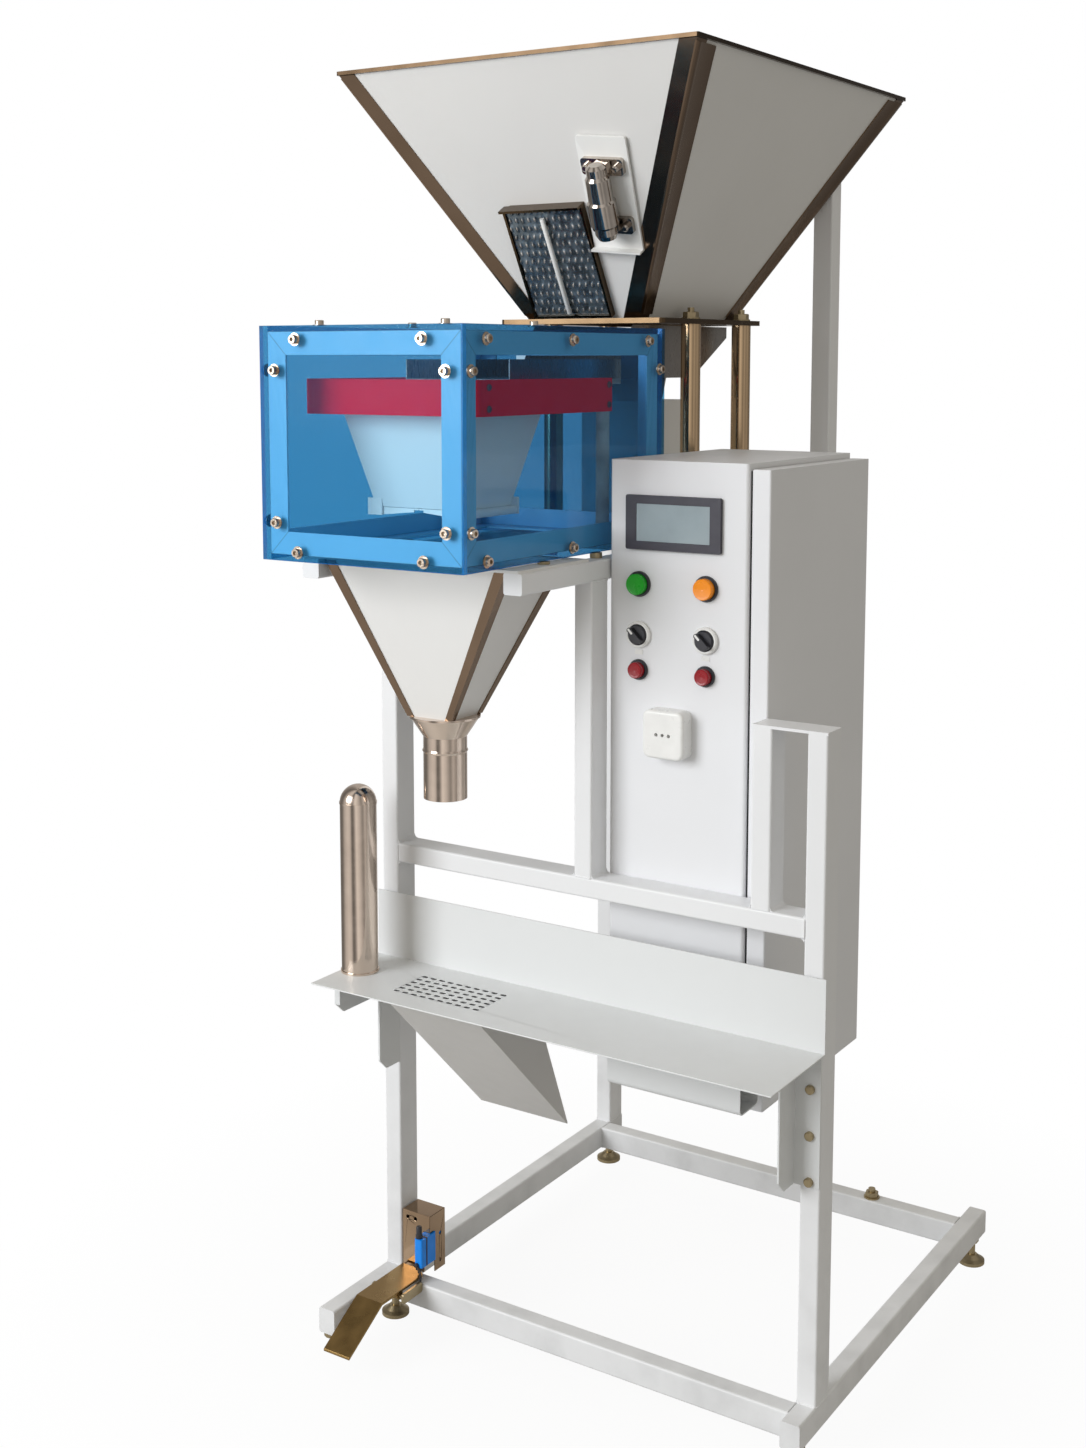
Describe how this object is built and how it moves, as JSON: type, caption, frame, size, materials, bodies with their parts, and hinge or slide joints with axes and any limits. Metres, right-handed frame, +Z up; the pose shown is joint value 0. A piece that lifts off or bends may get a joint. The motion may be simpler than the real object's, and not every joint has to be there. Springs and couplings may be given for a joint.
{
  "type": "dosing machine",
  "caption": "Free-standing net weigher: square hopper, vibrating feeder, blue weighing box, discharge funnel and spout, packing shelf, foot pedal and side cabinet.",
  "frame": {"origin": "on the floor under the middle of the overall box", "axes": "+Z up, -Y towards the operator (the spout and shelf side), +X to the operator's right"},
  "size_m": [0.887, 1.112, 1.976],
  "materials": {
    "powder_coat": "light grey powder coat, satin",
    "hopper_sheet": "matt light grey coated sheet",
    "stainless": "stainless steel, fine brushed",
    "stainless_bright": "stainless steel, ground",
    "zinc": "zinc plated, slightly yellow",
    "pedal_steel": "yellow passivated steel",
    "acrylic_blue": "clear blue acrylic sheet",
    "angle_blue": "blue tinted folded angle",
    "bar_red": "red gloss paint",
    "aluminium": "natural anodised",
    "bucket_steel": "thin sheet, pale coat",
    "switch_blue": "blue moulded plastic",
    "black_plastic": "black moulded plastic",
    "white_plastic": "white moulded plastic",
    "device_grey": "grey device cases on a zinc plate",
    "green_cap": "green cap",
    "orange_cap": "orange cap",
    "red_cap": "red cap",
    "vibrator_metal": "dark cast body, part polished"
  },
  "bodies": {
    "frame": {"base_rail_left": "powder_coat", "base_rail_right": "powder_coat", "base_cross_rails": "powder_coat", "levelling_feet": "zinc", "frame_bolts": "zinc", "post_left": "powder_coat", "post_right": "powder_coat", "post_middle": "powder_coat", "post_rear_left": "powder_coat", "mid_cross_bar": "powder_coat", "window_frame": "powder_coat", "box_arms": "powder_coat", "upper_cross_beams": "powder_coat", "mast": "powder_coat", "shelf_tray": "hopper_sheet", "shelf_brackets": "powder_coat", "shelf_channel": "powder_coat", "spill_chute": "powder_coat", "sample_tube": "stainless_bright", "pedal_bracket": "zinc", "switch_guard": "stainless", "limit_switch": "switch_blue", "funnel_shell": "hopper_sheet", "funnel_strips": "stainless", "spout": "stainless_bright", "box_frame": "angle_blue", "box_front_panel": "acrylic_blue", "box_right_panel": "acrylic_blue", "box_cover_panels": "acrylic_blue", "box_fixings": "zinc", "load_bars": "bar_red", "load_cells": "aluminium", "weigh_bucket": "bucket_steel", "gate_cylinder": "aluminium", "hopper_shell": "hopper_sheet", "hopper_trim": "stainless", "sight_panel": "hopper_sheet", "vibrator_plate": "hopper_sheet", "vibrator": "vibrator_metal", "flange_plate": "stainless", "support_pipes": "pedal_steel", "feed_trough": "stainless", "feed_drive": "white_plastic", "cabinet_body": "powder_coat", "mounting_plate": "device_grey", "hmi": "black_plastic", "operator_bezels": "black_plastic", "socket_outlet": "white_plastic"},
    "cabinet_door": {"cabinet_door": "powder_coat"},
    "green_button": {"green_button": "green_cap"},
    "orange_button": {"orange_button": "orange_cap"},
    "red_button_left": {"red_button_left": "red_cap"},
    "red_button_right": {"red_button_right": "red_cap"},
    "selector_left": {"selector_left": "black_plastic"},
    "selector_right": {"selector_right": "black_plastic"},
    "pedal": {"pedal": "pedal_steel"},
    "switch_rod": {"switch_rod": "black_plastic"},
    "gate_left": {"gate_left": "bucket_steel"},
    "gate_right": {"gate_right": "bucket_steel"},
    "gate_rod": {"gate_rod": "stainless_bright"}
  },
  "joints": [
    {"name": "door_hinge", "type": "hinge", "parent": "frame", "child": "cabinet_door", "pos_m": [0.3145, 0.116, 0.924], "axis": [0, 0, 1], "range_deg": [0, 100]},
    {"name": "green_button_press", "type": "slide", "parent": "frame", "child": "green_button", "axis": [0, 1, 0], "range_m": [0, 0.004], "stiffness_N_per_m": 500, "springref_m": -0.003},
    {"name": "orange_button_press", "type": "slide", "parent": "frame", "child": "orange_button", "axis": [0, 1, 0], "range_m": [0, 0.004], "stiffness_N_per_m": 500, "springref_m": -0.003},
    {"name": "red_button_left_press", "type": "slide", "parent": "frame", "child": "red_button_left", "axis": [0, 1, 0], "range_m": [0, 0.004], "stiffness_N_per_m": 500, "springref_m": -0.003},
    {"name": "red_button_right_press", "type": "slide", "parent": "frame", "child": "red_button_right", "axis": [0, 1, 0], "range_m": [0, 0.004], "stiffness_N_per_m": 500, "springref_m": -0.003},
    {"name": "selector_left_turn", "type": "hinge", "parent": "frame", "child": "selector_left", "pos_m": [0.1205, -0.226, 1.138], "axis": [0, 1, 0], "range_deg": [0, 90]},
    {"name": "selector_right_turn", "type": "hinge", "parent": "frame", "child": "selector_right", "pos_m": [0.2285, -0.226, 1.138], "axis": [0, 1, 0], "range_deg": [0, 90]},
    {"name": "pedal_tread", "type": "hinge", "parent": "frame", "child": "pedal", "pos_m": [-0.2545, -0.334, 0.0835], "axis": [1, 0, 0], "range_deg": [0, 6], "stiffness_Nm_per_rad": 5, "springref_deg": -11.46},
    {"name": "switch_rod_lift", "type": "slide", "parent": "frame", "child": "switch_rod", "axis": [0, 0, 1], "range_m": [0, 0.0058]},
    {"name": "gate_left_swing", "type": "hinge", "parent": "frame", "child": "gate_left", "pos_m": [-0.2053, -0.356, 1.316], "axis": [0, 1, 0], "range_deg": [0, 60]},
    {"name": "gate_right_swing", "type": "hinge", "parent": "frame", "child": "gate_right", "pos_m": [-0.0417, -0.356, 1.316], "axis": [0, 1, 0], "range_deg": [-60, 0]},
    {"name": "gate_rod_stroke", "type": "slide", "parent": "frame", "child": "gate_rod", "axis": [0, 0, -1], "range_m": [0, 0.0302]}
  ],
  "couplings": [
    {"joint": "switch_rod_lift", "follows": "pedal_tread", "m_per_rad": 0.052},
    {"joint": "gate_right_swing", "follows": "gate_left_swing", "ratio": -1},
    {"joint": "gate_rod_stroke", "follows": "gate_left_swing", "m_per_rad": 0.0286}
  ]
}
